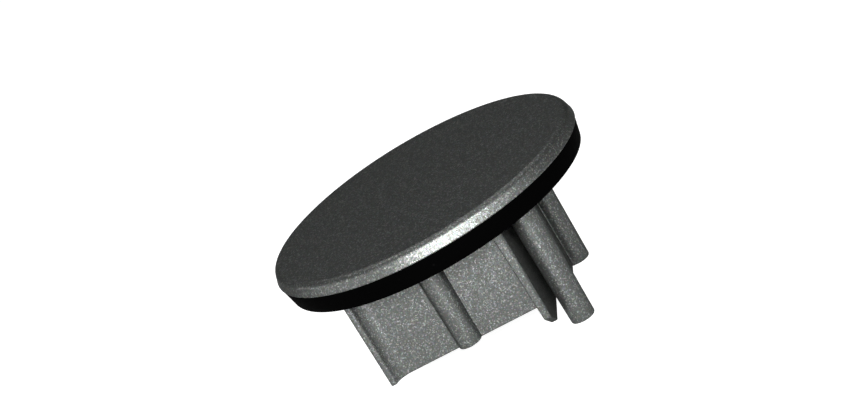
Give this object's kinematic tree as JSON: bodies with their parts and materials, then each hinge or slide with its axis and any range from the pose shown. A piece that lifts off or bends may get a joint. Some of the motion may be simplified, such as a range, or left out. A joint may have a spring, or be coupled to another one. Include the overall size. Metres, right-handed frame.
{
  "type": "handrail end cap",
  "caption": "Round cast end cap for a tubular handrail: a rim plate with a rounded edge over a black rubber gasket ring, and a plug of ribbed walls, fins and posts that pushes into the rail.",
  "frame": {"origin": "on the rail's axis, in the plane where the rail's end meets the gasket", "axes": "+Z out of the rail, towards the cap's visible face; +X towards the two posts; +Y along the line of the posts, square to the ribbed side walls"},
  "size_m": [0.06, 0.06, 0.0307],
  "materials": {
    "casting": "dark grey metallic coat on a die casting, with a fine sparkle",
    "gasket": "smooth black rubber, slightly glossy"
  },
  "bodies": {
    "root": {"cap_casting": "casting", "rim_gasket": "gasket"}
  },
  "joints": []
}
